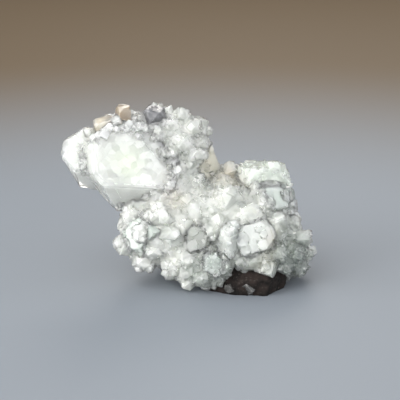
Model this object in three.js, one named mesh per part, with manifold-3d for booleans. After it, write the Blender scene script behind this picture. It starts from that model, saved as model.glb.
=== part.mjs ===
// Apophyllite cluster: glassy tetragonal crystals grown over a scrap of dark basalt.
// Millimetres, +Z up, X to the right and Y to the back as the specimen is displayed.
// Every crystal follows one habit: a square prism whose corners are cut by a steep pyramid,
// closed by a flat end face. The angles never change; only the distances of the faces do.
import * as THREE from "three";
import { ConvexGeometry } from "three/addons/geometries/ConvexGeometry.js";
import { mergeVertices } from "three/addons/utils/BufferGeometryUtils.js";
import Module from "manifold-3d";

// ---- driving dimensions ---------------------------------------------------------------------

const PYRAMID_TILT = THREE.MathUtils.degToRad(60.5); // from a crystal's axis to a pyramid face's normal
const GAP = 0.3; // clear space between two pieces that sit against each other
const FLOOR = 0.4; // the crystals stay this far above the surface that the rock stands on

// The large crystal grew as a stack of plates in one direction, so its body has lower plates beside it.
// For each plate: end and root are how far its flat end and its buried end are from the centre,
// sides the distances of its four prism faces, pyramids those of the four faces that cut its corners.
const HEAD_AXIS = [0.28, -0.93, 0.24];
const HEAD_CENTRE = [-21, 0, 38];
const HEAD_PLATES = [
  {
    turn: 55,
    faces: { end: 9.2, root: 5, sides: [8.9, 12.9, 10.4, 20], pyramids: [13.5, 14, 10.5, 17.5] },
  },
  {
    turn: 45,
    faces: { end: 6.5, root: 4, sides: [21.7, 16, 14.2, 21.4], pyramids: [5.8, 14.8, 6.3, 3] },
  },
  {
    turn: 55,
    faces: { end: 7.8, root: 6, sides: [12.9, 12, 9, 18], pyramids: [13.5, 13, 9.5, 17.5] },
  },
];

// at: the crystal's centre. points: the way its axis runs. turn: its roll about that axis, in degrees.
// width and depth: half its size across each way. corner: where the pyramid starts on its corner edges.
// end and root: how far its flat end and its buried end are from its centre.
const SINGLE_CRYSTALS = {
  rear_crystal: {
    at: [5, 9, 35.5],
    points: [-0.37, 0.2, 0.9],
    turn: 20,
    width: 4,
    corner: 5,
    end: 8,
    root: 10,
  },
  smoky_crystal: {
    at: [-10.8, 4, 51.5],
    points: [0.1, -0.2, 1],
    turn: 30,
    width: 3.4,
    corner: 0.5,
    end: 4.4,
    root: 5,
  },
  honey_crystal_left: {
    at: [-25.9, 0, 50.1],
    points: [-0.25, -0.2, 1],
    turn: 10,
    width: 3.2,
    depth: 2.6,
    corner: 1.5,
    end: 3,
    root: 5,
  },
  honey_crystal_top: {
    at: [-20.4, 1.5, 53.6],
    points: [0.05, -0.1, 1],
    turn: 25,
    width: 2,
    corner: 1.6,
    end: 3.4,
    root: 6,
  },
  shoulder_crystal: {
    at: [23.5, 9, 26.5],
    points: [-0.05, 0.05, 1],
    turn: 20,
    width: 8.5,
    depth: 6.5,
    corner: 3,
    end: 9,
    root: 10,
  },
  glassy_crystal: {
    at: [27, 0, 25.5],
    points: [0.35, -0.6, 0.7],
    turn: 30,
    width: 4.2,
    corner: 1,
    end: 4,
    root: 6,
  },
  edge_crystal: {
    at: [29.4, 2, 26],
    points: [0.9, -0.3, 0.25],
    turn: 5,
    width: 3.4,
    depth: 3.8,
    corner: 1,
    end: 4.4,
    root: 7,
  },
  bright_crystal: {
    at: [20.6, -12.6, 18],
    points: [0.1, -0.95, 0.25],
    turn: 20,
    width: 5.4,
    depth: 4.6,
    corner: 1,
    end: 4.6,
    root: 6,
  },
  snow_crystal: {
    at: [12.6, -17.5, 19],
    points: [-0.12, -0.35, 0.93],
    turn: 40,
    width: 2.6,
    corner: 0,
    end: 5,
    root: 5,
  },
  pale_crystal: {
    at: [3.8, -12, 17.4],
    points: [-0.2, -0.9, 0.3],
    turn: 15,
    width: 3.2,
    depth: 3.5,
    corner: 1,
    end: 4,
    root: 6,
  },
  round_crystal: {
    at: [8.6, -15.5, 10.2],
    points: [-0.15, -0.95, 0.2],
    turn: 50,
    width: 3,
    corner: 0.5,
    end: 3,
    root: 5,
  },
  green_crystal: {
    at: [-14, -8.5, 17.5],
    points: [-0.45, -0.8, 0.25],
    turn: 30,
    width: 4.6,
    depth: 4,
    corner: 1.5,
    end: 4.5,
    root: 6,
  },
};

// The intergrown crust: rounded lumps, packed with small crystals that point outwards.
// crystals: how many are spread over a lump. size: half the width of the smallest and the largest.
const CRUST_LUMPS = [
  { part: "middle", at: [12, 3, 17], radii: [21.5, 18.5, 13], crystals: 46, size: [2.8, 4.4] },
  { part: "left side", at: [-9.4, -3.6, 16.6], radii: [12, 11.5, 9.7], crystals: 23, size: [2.1, 3.4] },
  { part: "front foot", at: [5.6, -8, 8.4], radii: [12.8, 9.8, 8.4], crystals: 24, size: [2, 3.1] },
  { part: "back foot", at: [-3, 9, 9.5], radii: [9.5, 8.5, 9], crystals: 10, size: [2.3, 3.3] },
  { part: "neck", at: [-5, 4.5, 29.5], radii: [11, 11.5, 10], crystals: 17, size: [2.3, 3.6] },
  { part: "right side", at: [31, -1, 10.5], radii: [8, 11.5, 9], crystals: 24, size: [1.7, 2.8] },
  { part: "shoulder", at: [21, 7, 25], radii: [11.5, 9.5, 7], crystals: 11, size: [2.4, 3.6] },
  { part: "saddle", at: [11, 7, 29], radii: [7.5, 7.5, 6], crystals: 9, size: [2, 2.8] },
  { part: "behind the head", at: [-6, 8, 42.8], radii: [11.3, 10.5, 9.7], crystals: 30, size: [2, 3.3] },
  { part: "top of the head", at: [-19.5, 8.5, 41.5], radii: [9.5, 8.5, 9.5], crystals: 16, size: [2.1, 3.3] },
  { part: "brow", at: [20.5, -10, 11.5], radii: [10, 8.1, 5.5], crystals: 16, size: [1.5, 2.4] },
];
const CRUST_ROOT = 1.2; // how far a small crystal's buried end is from its centre, in half widths
const CRUST_SUNK = 0.55; // how far its centre is sunk below the lump's surface, in half widths
const BURIED = 0.86; // a crystal this deep in a neighbouring lump would not show, so it is left out
const BARE_ROCK = new THREE.Box3(new THREE.Vector3(9, -40, -1), new THREE.Vector3(29, -9, 6));

// The dark rock is a wedge of basalt: a brow in front, a low top, and a flat foot that reaches far
// enough to the left, under the crust, to bear the overhanging large crystal.
const ROCK_FOOT = [
  [6, -12],
  [15, -16.5],
  [25, -17],
  [31, -9],
  [31, 9],
  [20, 16],
  [0, 15],
  [-7, 5],
];
const ROCK_BROW = [
  [12, -14],
  [16, -17.8],
  [26, -18.4],
  [32, -10],
  [31, 9],
  [17, 14],
  [2, 11],
  [-1, 2],
];
const ROCK_TOP = [
  [12, -13],
  [24, -13],
  [26, 4],
  [10, 6],
];
const ROCK_BROW_HEIGHT = 5.4;
const ROCK_TOP_HEIGHT = 9.5;
const ROCK_MIDDLE = new THREE.Vector3(14, -1, 4);
const ROCK_CORNER_GROWTH = 1.8; // how far a corner moves out for every face to move out by one

// ---- solids ---------------------------------------------------------------------------------

const wasm = await Module();
wasm.setup();

function solidOf(geometry) {
  const bare = geometry.clone();
  bare.deleteAttribute("normal");
  bare.deleteAttribute("uv");
  const merged = mergeVertices(bare, 1e-4);
  return new wasm.Manifold(
    new wasm.Mesh({
      numProp: 3,
      vertProperties: new Float32Array(merged.attributes.position.array),
      triVerts: new Uint32Array(merged.index.array),
    }),
  );
}

function geometryOf(solid) {
  const mesh = solid.getMesh();
  const geometry = new THREE.BufferGeometry();
  geometry.setAttribute("position", new THREE.BufferAttribute(mesh.vertProperties, 3));
  geometry.setIndex(new THREE.BufferAttribute(mesh.triVerts, 1));
  return geometry.toNonIndexed();
}

const joined = (solids) => solids.reduce((all, next) => all.add(next));

// The biggest body of a solid: a cut can leave loose crumbs, which are dropped.
const largest = (solid) => solid.decompose().reduce((a, b) => (b.volume() > a.volume() ? b : a));

function boxSolid(low, high) {
  const [x, y, z] = high.map((v, axis) => v - low[axis]);
  const box = new THREE.BoxGeometry(x, y, z);
  box.translate(...high.map((v, axis) => (v + low[axis]) / 2));
  return solidOf(box);
}

// ---- one crystal ----------------------------------------------------------------------------

// The faces of one crystal as planes { normal, distance } about its own centre, axis along +Z.
function facePlanes({ end, root, sides, pyramids }, grow) {
  const planes = [
    { normal: new THREE.Vector3(0, 0, 1), distance: end + grow },
    { normal: new THREE.Vector3(0, 0, -1), distance: root + grow },
  ];
  for (let side = 0; side < 4; side++) {
    const across = (side * Math.PI) / 2;
    const diagonal = across + Math.PI / 4;
    planes.push({
      normal: new THREE.Vector3(Math.cos(across), Math.sin(across), 0),
      distance: sides[side] + grow,
    });
    planes.push({
      normal: new THREE.Vector3(
        Math.sin(PYRAMID_TILT) * Math.cos(diagonal),
        Math.sin(PYRAMID_TILT) * Math.sin(diagonal),
        Math.cos(PYRAMID_TILT),
      ),
      distance: pyramids[side] + grow,
    });
  }
  return planes;
}

// The face distances of an even crystal, whose four sides and four pyramid faces match.
function evenCrystal({ width, depth = width, corner, end, root }) {
  const cornerReach = (width + depth) / Math.SQRT2;
  const pyramid = Math.cos(PYRAMID_TILT) * corner + Math.sin(PYRAMID_TILT) * cornerReach;
  return { end, root, sides: [width, depth, width, depth], pyramids: Array(4).fill(pyramid) };
}

// Where three planes meet, or null where two of them run side by side.
function meeting(a, b, c) {
  const bc = b.normal.clone().cross(c.normal);
  const volume = a.normal.dot(bc);
  if (Math.abs(volume) < 1e-6) return null;
  return bc
    .multiplyScalar(a.distance)
    .addScaledVector(c.normal.clone().cross(a.normal), b.distance)
    .addScaledVector(a.normal.clone().cross(b.normal), c.distance)
    .divideScalar(volume);
}

// The corners of the convex body inside all the planes: each meeting of three that no other cuts off.
function cornersInside(planes) {
  const corners = [];
  for (let i = 0; i < planes.length; i++)
    for (let j = i + 1; j < planes.length; j++)
      for (let k = j + 1; k < planes.length; k++) {
        const point = meeting(planes[i], planes[j], planes[k]);
        if (!point) continue;
        const inside = planes.every((p) => p.normal.dot(point) < p.distance + 1e-6);
        const isNew = corners.every((q) => q.distanceTo(point) > 1e-4);
        if (inside && isNew) corners.push(point);
      }
  return corners;
}

// One crystal as a solid in the cluster's frame, with every face moved out by grow.
function crystal({ at, points, turn, faces }, grow = 0) {
  const geometry = new ConvexGeometry(cornersInside(facePlanes(faces, grow)));
  const up = new THREE.Vector3(0, 0, 1);
  const aim = new THREE.Quaternion().setFromUnitVectors(up, new THREE.Vector3(...points).normalize());
  const roll = new THREE.Quaternion().setFromAxisAngle(up, THREE.MathUtils.degToRad(turn));
  const place = new THREE.Matrix4().compose(
    new THREE.Vector3(...at),
    aim.multiply(roll),
    new THREE.Vector3(1, 1, 1),
  );
  return solidOf(geometry.applyMatrix4(place));
}

const headSolid = (grow = 0) =>
  joined(HEAD_PLATES.map((plate) => crystal({ at: HEAD_CENTRE, points: HEAD_AXIS, ...plate }, grow)));

// ---- the intergrown crust -------------------------------------------------------------------
// The lumps and their crystals overlap, so they are one solid.

// A repeatable stream of numbers from 0 to 1.
function numberStream(seed) {
  let state = seed;
  return () => {
    state = (state * 1664525 + 1013904223) % 4294967296;
    return state / 4294967296;
  };
}

// Points spread evenly over a lump by the golden angle, with the outward direction at each.
function pointsOver({ at, radii, crystals }) {
  const goldenAngle = Math.PI * (3 - Math.sqrt(5));
  return Array.from({ length: crystals }, (_, i) => {
    const height = 1 - (2 * (i + 0.5)) / crystals;
    const ring = Math.sqrt(1 - height * height);
    const onSphere = [Math.cos(goldenAngle * i) * ring, Math.sin(goldenAngle * i) * ring, height];
    return {
      spot: new THREE.Vector3(...onSphere.map((v, axis) => at[axis] + v * radii[axis])),
      outward: new THREE.Vector3(...onSphere.map((v, axis) => v / radii[axis])).normalize(),
    };
  });
}

// How deep a point is in a lump: under 1 inside it, over 1 outside.
const depthIn = ({ at, radii }, { x, y, z }) =>
  Math.hypot((x - at[0]) / radii[0], (y - at[1]) / radii[1], (z - at[2]) / radii[2]);

function lumpSolid({ at, radii }) {
  const ball = new THREE.IcosahedronGeometry(1, 1);
  ball.scale(...radii);
  ball.translate(...at);
  return solidOf(ball);
}

// The crystals of one lump: each is sunk a little, leans a little and is rolled at random.
function crystalsOf(lump, random) {
  const solids = [];
  for (const { spot, outward } of pointsOver(lump)) {
    const [size, lean, stretch, roll] = [random(), random(), random(), random()];
    const jitter = new THREE.Vector3(random() - 0.5, random() - 0.5, random() - 0.5);
    const isBuried = CRUST_LUMPS.some((other) => other !== lump && depthIn(other, spot) < BURIED);
    if (isBuried || BARE_ROCK.containsPoint(spot)) continue;
    const width = THREE.MathUtils.lerp(...lump.size, size);
    const faces = evenCrystal({
      width,
      depth: width * (0.8 + 0.3 * stretch),
      corner: width * (0.5 * lean - 0.2),
      end: width * (0.95 + 0.5 * stretch),
      root: width * CRUST_ROOT,
    });
    const at = spot.clone().addScaledVector(outward, -CRUST_SUNK * width);
    const points = outward.clone().addScaledVector(jitter, 0.4 + 0.8 * lean);
    solids.push(crystal({ at: at.toArray(), points: points.toArray(), turn: roll * 90, faces }));
  }
  return solids;
}

function crustSolid() {
  const random = numberStream(7);
  const grown = CRUST_LUMPS.flatMap((lump) => [lumpSolid(lump), ...crystalsOf(lump, random)]);
  return joined(grown).subtract(boxSolid([-60, -60, -20], [60, 60, FLOOR]));
}

// ---- the dark rock --------------------------------------------------------------------------

function rockSolid(grow = 0) {
  const level = (outline, height) => outline.map(([x, y]) => new THREE.Vector3(x, y, height));
  const corners = [
    ...level(ROCK_FOOT, 0),
    ...level(ROCK_BROW, ROCK_BROW_HEIGHT),
    ...level(ROCK_TOP, ROCK_TOP_HEIGHT),
  ];
  const grown = corners.map((corner) => {
    const outward = corner.clone().sub(ROCK_MIDDLE).normalize();
    return corner.clone().addScaledVector(outward, ROCK_CORNER_GROWTH * grow);
  });
  return solidOf(new ConvexGeometry(grown));
}

// ---- the pieces -----------------------------------------------------------------------------

const finish = (color, roughness) => new THREE.MeshStandardMaterial({ color, roughness, metalness: 0 });
const CLEAR = finish(0xe6eae2, 0.12);
const HONEY = finish(0xdccdb4, 0.25);
const SMOKY = finish(0xb6b6b4, 0.15);
const CRUST = finish(0xd3d7d0, 0.3);
const ROCK = finish(0x453f3d, 0.8);
const TINTS = { honey_crystal_left: HONEY, honey_crystal_top: HONEY, smoky_crystal: SMOKY };

const pieces = [
  { name: "main_crystal", solid: headSolid(), grown: headSolid(GAP), material: CLEAR },
  ...Object.entries(SINGLE_CRYSTALS).map(([name, { at, points, turn, ...size }]) => {
    const shape = { at, points, turn, faces: evenCrystal(size) };
    return { name, solid: crystal(shape), grown: crystal(shape, GAP), material: TINTS[name] ?? CLEAR };
  }),
  { name: "basalt_rock", solid: rockSolid(), grown: rockSolid(GAP), material: ROCK },
  { name: "crystal_crust", solid: crustSolid(), grown: null, material: CRUST },
];

// Each piece is cut clear of all those before it, so nothing overlaps and a thin gap is left.
const cluster = new THREE.Group();
pieces.forEach(({ name, solid, material }, i) => {
  const clear = pieces.slice(0, i).reduce((rest, earlier) => rest.subtract(earlier.grown), solid);
  const mesh = new THREE.Mesh(geometryOf(largest(clear)), material);
  mesh.name = name;
  cluster.add(mesh);
});

// The origin is on the surface that the cluster stands on, under the middle of its outline.
const box = new THREE.Box3().setFromObject(cluster);
const middle = box.getCenter(new THREE.Vector3());
cluster.position.set(-middle.x, -middle.y, -box.min.z);

export default cluster;
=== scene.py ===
# %% [markdown]
# # A cluster of apophyllite crystals
#
# The specimen is a crust of small glassy crystals that grew over a scrap of dark basalt, with one
# large blocky crystal leaning off it. The solids from the CAD model are the frame: every piece made
# here starts from one of them, so it is already in its place and at its size.
#
# Apophyllite is clear, but it is full of milky clouds, and that is what the eye sees first. So most
# pieces here come in pairs: a glassy skin with sharp faces, and a milky body sealed a little under it.

# %% Load the frame
import math

import bmesh
import bpy
import numpy as np
from mathutils import Matrix, Vector
from mathutils.bvhtree import BVHTree


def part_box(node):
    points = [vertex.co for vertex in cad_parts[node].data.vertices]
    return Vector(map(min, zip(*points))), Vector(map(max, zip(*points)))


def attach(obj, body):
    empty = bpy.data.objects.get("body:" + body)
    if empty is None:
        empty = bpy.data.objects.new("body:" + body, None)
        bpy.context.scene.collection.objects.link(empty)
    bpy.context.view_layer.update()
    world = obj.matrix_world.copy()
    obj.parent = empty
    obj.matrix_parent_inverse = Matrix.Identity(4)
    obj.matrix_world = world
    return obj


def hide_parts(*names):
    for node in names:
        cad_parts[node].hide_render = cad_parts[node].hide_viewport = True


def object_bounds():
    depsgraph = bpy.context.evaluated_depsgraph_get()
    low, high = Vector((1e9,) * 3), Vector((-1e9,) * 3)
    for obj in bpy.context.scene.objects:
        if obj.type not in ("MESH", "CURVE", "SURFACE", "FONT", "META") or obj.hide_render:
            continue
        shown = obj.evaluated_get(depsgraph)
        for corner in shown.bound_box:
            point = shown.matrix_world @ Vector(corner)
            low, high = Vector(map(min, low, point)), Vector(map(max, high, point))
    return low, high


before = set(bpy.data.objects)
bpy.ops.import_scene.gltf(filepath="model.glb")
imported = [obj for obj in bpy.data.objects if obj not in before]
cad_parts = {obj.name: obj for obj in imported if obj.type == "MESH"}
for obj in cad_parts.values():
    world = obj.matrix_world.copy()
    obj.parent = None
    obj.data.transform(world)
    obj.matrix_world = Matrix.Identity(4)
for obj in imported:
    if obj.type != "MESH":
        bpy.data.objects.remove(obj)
cad_low, cad_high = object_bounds()
scene = bpy.context.scene
MM = 0.001
print("CAD box, mm:", [round(v / MM, 1) for v in (*cad_low, *cad_high)])

# %% [markdown]
# ## Camera, floor and light
#
# The specimen is seen from the front and a little above, from far off with a long lens, so that it
# keeps its proportions. The floor is a plain sheet that bends up behind. Its tone warms and darkens
# away from the specimen, so that clear edges have two tones to bend. Light gets into a clear
# crystal only along bent paths, so the lamps are large and soft. Two low ones, at the left and in
# front, light the faces that look forward; weaker ones above, behind and at the right round the
# shape, and the world gives the rest.

# %% Camera
VIEW_ELEVATION = math.radians(16)
VIEW_DISTANCE = 420 * MM
VIEW_WIDTH = 128 * MM  # how much of the scene the picture is wide, at the specimen
SENSOR = 36.0
AIM_OFFSET = (3.9, -1.65, -2.15)  # mm from the middle of the CAD box to the middle of the picture

middle = (cad_low + cad_high) / 2
target = middle + Vector(AIM_OFFSET) * MM
toward_viewer = Vector((0, -math.cos(VIEW_ELEVATION), math.sin(VIEW_ELEVATION)))
camera_data = bpy.data.cameras.new("camera")
camera_data.sensor_width = SENSOR
camera_data.lens = SENSOR * VIEW_DISTANCE / VIEW_WIDTH
camera_data.clip_start = 0.01
camera_data.clip_end = 50
camera = bpy.data.objects.new("camera", camera_data)
camera.location = target + toward_viewer * VIEW_DISTANCE
camera.rotation_euler = toward_viewer.to_track_quat("Z", "Y").to_euler()
scene.collection.objects.link(camera)
scene.camera = camera
print("camera at", [round(v, 3) for v in camera.location], "lens", round(camera_data.lens, 1))


# %% Materials: small helpers
def new_material(name):
    """An empty node material: returns it, its node tree, its Principled shader and its output."""
    material = bpy.data.materials.new(name)
    material.use_nodes = True
    tree = material.node_tree
    tree.nodes.clear()
    output = tree.nodes.new("ShaderNodeOutputMaterial")
    shader = tree.nodes.new("ShaderNodeBsdfPrincipled")
    tree.links.new(shader.outputs["BSDF"], output.inputs["Surface"])
    return material, tree, shader, output


def node(tree, kind, values=None, **settings):
    """Adds a node, sets its properties from settings and its sockets from values (by name or number)."""
    made = tree.nodes.new(kind)
    for key, value in settings.items():
        setattr(made, key, value)
    for socket, value in (values or {}).items():
        if isinstance(value, bpy.types.NodeSocket):
            tree.links.new(value, made.inputs[socket])
        else:
            made.inputs[socket].default_value = value
    return made


def colour_mix(tree, factor, a, b, blend="MIX"):
    """Mixes two colours; each argument is a value or another node's socket. Returns the result socket."""
    made = node(tree, "ShaderNodeMix", {0: factor, 6: a, 7: b}, data_type="RGBA", blend_type=blend)
    return made.outputs[2]


def spread(tree, value, low, high, to_low=0.0, to_high=1.0):
    """A value's range low..high stretched smoothly over to_low..to_high. Returns the result socket."""
    ends = {"Value": value, "From Min": low, "From Max": high, "To Min": to_low, "To Max": to_high}
    return node(tree, "ShaderNodeMapRange", ends, interpolation_type="SMOOTHSTEP").outputs["Result"]


def noise(tree, vector, per_mm, detail=3.0, rough=0.55, distortion=0.0):
    """A noise pattern with about per_mm bumps to the millimetre. Returns its Factor socket."""
    values = {"Vector": vector, "Scale": per_mm / MM, "Detail": detail, "Roughness": rough}
    values["Distortion"] = distortion
    return node(tree, "ShaderNodeTexNoise", values).outputs[0]


def object_place(tree):
    """Object coordinates: they are the specimen's own millimetres, because every piece sits at the origin."""
    return node(tree, "ShaderNodeTexCoord").outputs["Object"]


# %% Floor, lamps and world
FLOOR_NEAR = (0.181, 0.199, 0.222, 1)
FLOOR_FAR = (0.106, 0.074, 0.042, 1)
FLOOR_TURNS = (0.10, 0.42)  # m from the specimen, between which the near tone turns into the far one


def sweep_mesh(name, width, depth, height, bend, steps=24):
    """A sheet that lies flat, bends up in a quarter circle and stands: a profile carried along X."""
    angle = np.linspace(0, math.pi / 2, steps)
    y = np.concatenate([[-depth], depth + bend * np.sin(angle), [depth + bend]])
    z = np.concatenate([[0], bend * (1 - np.cos(angle)), [height]])
    points = np.stack([np.repeat([-width, width], len(y)), np.tile(y, 2), np.tile(z, 2)], axis=1)
    n = len(y)
    i = np.arange(n - 1)
    faces = np.stack([i + n, i + n + 1, i + 1, i], axis=1)
    mesh = bpy.data.meshes.new(name)
    mesh.from_pydata(points.tolist(), [], faces.tolist())
    return mesh


floor_sheet = sweep_mesh("floor", width=2.2, depth=1.1, height=2.4, bend=0.35)
floor = bpy.data.objects.new("floor", floor_sheet)
floor.data.shade_smooth()
scene.collection.objects.link(floor)
floor_material, tree, shader, _ = new_material("floor")
away = node(tree, "ShaderNodeVectorMath", {0: object_place(tree)}, operation="LENGTH").outputs["Value"]
tone = colour_mix(tree, spread(tree, away, *FLOOR_TURNS), FLOOR_NEAR, FLOOR_FAR)
tree.links.new(tone, shader.inputs["Base Color"])
shader.inputs["Roughness"].default_value = 0.6
floor.data.materials.append(floor_material)


def soft_lamp(name, place_from_middle, size, watts, colour):
    """A square area lamp aimed at the specimen."""
    data = bpy.data.lights.new(name, "AREA")
    data.size = size
    data.energy = watts
    data.color = colour
    lamp = bpy.data.objects.new(name, data)
    lamp.location = middle + Vector(place_from_middle)
    lamp.rotation_euler = Vector(place_from_middle).to_track_quat("Z", "Y").to_euler()
    scene.collection.objects.link(lamp)


soft_lamp("key", (-0.42, -0.55, 0.75), size=0.8, watts=6.0, colour=(1.0, 0.99, 0.96))
soft_lamp("fill", (0.7, -0.5, 0.35), size=0.7, watts=1.0, colour=(0.93, 0.97, 1.0))
soft_lamp("side", (-0.95, -0.45, 0.2), size=0.9, watts=14.0, colour=(1.0, 1.0, 0.98))
soft_lamp("front", (0.15, -1.0, 0.03), size=0.9, watts=10.0, colour=(1.0, 1.0, 1.0))
soft_lamp("back", (0.1, 0.75, 0.6), size=0.5, watts=3.0, colour=(1.0, 0.98, 0.94))
world = bpy.data.worlds.new("world")
scene.world = world
world.use_nodes = True
world.node_tree.nodes["Background"].inputs["Color"].default_value = (0.88, 0.91, 0.95, 1)
world.node_tree.nodes["Background"].inputs["Strength"].default_value = 1.2
scene.view_settings.view_transform = "Standard"
scene.cycles.max_bounces = 64
scene.cycles.transmission_bounces = 48
scene.cycles.diffuse_bounces = 16
scene.cycles.glossy_bounces = 16
scene.cycles.caustics_refractive = True
scene.cycles.caustics_reflective = True

# %% [markdown]
# ## A crystal as a formula
#
# All apophyllite crystals have one shape: a square prism whose corners are cut by a steep pyramid,
# closed by a flat end. Let its half width be 1 and let its corner edges end at the height `corner`.
# Above that, the section at height z is the square |x|, |y| <= 1 cut by |x| + |y| <= s, where
# s = 2 - 0.8 (z - corner), 0.8 being the slope of a pyramid face that leans 60.5 degrees. A low end
# face is an octagon (a blocky crystal); a higher one is a diamond, because the four pyramid faces
# have met (a pointed crystal). So one small function of arrays makes thousands of crystals.

# %% Blocky and pointed crystals as arrays
PYRAMID_SLOPE = 0.8
POINTS_EACH = 16


def square_ring(height, n):
    """The four corners of the unit square at a height, for n crystals: an array n x 4 x 3."""
    ring = np.empty((n, 4, 3))
    ring[:, :, :2] = [[1, 1], [-1, 1], [-1, -1], [1, -1]]
    ring[:, :, 2] = height[:, None]
    return ring


def unit_crystals(corner, end, root, pointed):
    """Points (n x 16 x 3) of crystals of half width 1, blocky or pointed, by the formula above.

    Both have the root square, the square where the corner edges end, and eight points above: for a
    blocky crystal the end face's octagon, for a pointed one the diamond where the pyramid faces meet
    (at corner + 1 / slope) and the smaller diamond of the end face."""
    n = len(corner)
    reach = 2 - PYRAMID_SLOPE * (end - corner)
    points = np.empty((n, POINTS_EACH, 3))
    points[:, 0:4] = square_ring(-root, n)
    points[:, 4:8] = square_ring(corner, n)
    if pointed:
        axes = np.array([[1, 0], [0, 1], [-1, 0], [0, -1]], float)
        points[:, 8:12, :2] = axes
        points[:, 8:12, 2] = (corner + 1 / PYRAMID_SLOPE)[:, None]
        points[:, 12:16, :2] = axes * reach[:, None, None]
        points[:, 12:16, 2] = end[:, None]
        return points
    short = (reach - 1)[:, None]
    one = np.ones_like(short)
    points[:, 8:16, 0] = np.hstack([one, short, -short, -one, -one, -short, short, one])
    points[:, 8:16, 1] = np.hstack([short, one, one, short, -short, -one, -one, -short])
    points[:, 8:16, 2] = end[:, None]
    return points


BLOCKY_FACES = [
    (3, 2, 1, 0),
    (3, 0, 4, 8, 15, 7),
    (0, 1, 5, 10, 9, 4),
    (1, 2, 6, 12, 11, 5),
    (2, 3, 7, 14, 13, 6),
    (4, 9, 8),
    (5, 11, 10),
    (6, 13, 12),
    (7, 15, 14),
    (8, 9, 10, 11, 12, 13, 14, 15),
]
POINTED_FACES = [
    (3, 2, 1, 0),
    (3, 0, 4, 8, 7),
    (0, 1, 5, 9, 4),
    (1, 2, 6, 10, 5),
    (2, 3, 7, 11, 6),
    (4, 9, 13, 12, 8),
    (5, 10, 14, 13, 9),
    (6, 11, 15, 14, 10),
    (7, 8, 12, 15, 11),
    (12, 13, 14, 15),
]


def unit(vectors):
    """Vectors scaled to length 1."""
    return vectors / np.linalg.norm(vectors, axis=-1, keepdims=True)


def placed(points, at, axis, roll, width, stretch):
    """Unit crystals turned so that Z runs along axis, rolled, scaled by width and moved to at.

    stretch scales one side against the other, so that not every crystal is exactly square."""
    z = unit(axis)
    aside = np.where(np.abs(z[:, 2:3]) < 0.9, [[0.0, 0.0, 1.0]], [[1.0, 0.0, 0.0]])
    x = unit(np.cross(aside, z))
    y = np.cross(z, x)
    cos, sin = np.cos(roll)[:, None], np.sin(roll)[:, None]
    x, y = cos * x + sin * y, cos * y - sin * x
    scaled = points * width[:, None, None]
    scaled[:, :, 0] *= stretch[:, None]
    turned = sum(scaled[:, :, k : k + 1] * way[:, None] for k, way in enumerate((x, y, z)))
    return turned + at[:, None]


def crystals(rng, at, axis, width, pointed, corner, tall, roll=None):
    """Crystals of one kind on given spots, their shapes drawn at random: (points, faces).

    corner and tall are ranges, in half widths: where the pyramid starts and how high it goes on."""
    n = len(at)
    corners = rng.uniform(*corner, n)
    ends = corners + rng.uniform(*tall, n) + (1 / PYRAMID_SLOPE if pointed else 0)
    points = unit_crystals(corners, ends, np.ones(n), pointed)
    if roll is None:
        roll = rng.uniform(0, math.pi / 2, n)
    made = placed(points, at, axis, roll, width, rng.uniform(0.8, 1.2, n))
    return made, POINTED_FACES if pointed else BLOCKY_FACES


print("a crystal has", len(BLOCKY_FACES), "faces")

# %% [markdown]
# ## Solids to start from
#
# A CAD solid comes in as loose triangles, so it is copied and its equal corners are joined before
# anything grows on it. Two tools then do most of the work: a boolean that fuses a whole collection of
# small crystals into the solid that carries them, because crystals that grew into each other are one
# solid, and an inner body, which is a second surface at a chosen depth under the first.


# %% Copy a solid and make an object of it
def inside_box(name, x, y, z):
    """A place (mm) in a CAD solid's box: along each axis 0 is its low side and 1 its high side."""
    low, high = (np.array(corner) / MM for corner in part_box(name))
    return low + (high - low) * [x, y, z]


def points_of(mesh):
    """A mesh's points in mm, as an array."""
    points = np.empty(len(mesh.vertices) * 3)
    mesh.vertices.foreach_get("co", points)
    return points.reshape(-1, 3) / MM


def triangles_of(mesh):
    """A mesh's triangles as an array of point numbers."""
    mesh.calc_loop_triangles()
    triangles = np.empty(len(mesh.loop_triangles) * 3, int)
    mesh.loop_triangles.foreach_get("vertices", triangles)
    return triangles.reshape(-1, 3)


def merged_copy(name):
    """Points (mm) and triangles of a CAD node with its loose triangles joined: equal corners become one."""
    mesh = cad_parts[name].data
    points = points_of(mesh)
    _, first, same = np.unique(np.round(points, 3), axis=0, return_index=True, return_inverse=True)
    triangles = same.reshape(-1)[triangles_of(mesh)]
    whole = np.all(triangles != np.roll(triangles, 1, axis=1), axis=1)
    return points[first], triangles[whole]


def mesh_object(name, points, faces):
    """A mesh object at the origin from points in mm and a list of faces."""
    mesh = bpy.data.meshes.new(name)
    mesh.from_pydata((np.asarray(points) * MM).tolist(), [], [tuple(f) for f in faces])
    made = bpy.data.objects.new(name, mesh)
    scene.collection.objects.link(made)
    return made


def settle(made):
    """Applies a piece's modifiers: its mesh becomes what they give, with no material in it yet."""
    view = bpy.context.evaluated_depsgraph_get()
    settled = bpy.data.meshes.new_from_object(made.evaluated_get(view))
    made.modifiers.clear()
    settled.materials.clear()
    old = made.data
    made.data = settled
    settled.name = made.name
    bpy.data.meshes.remove(old)


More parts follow.
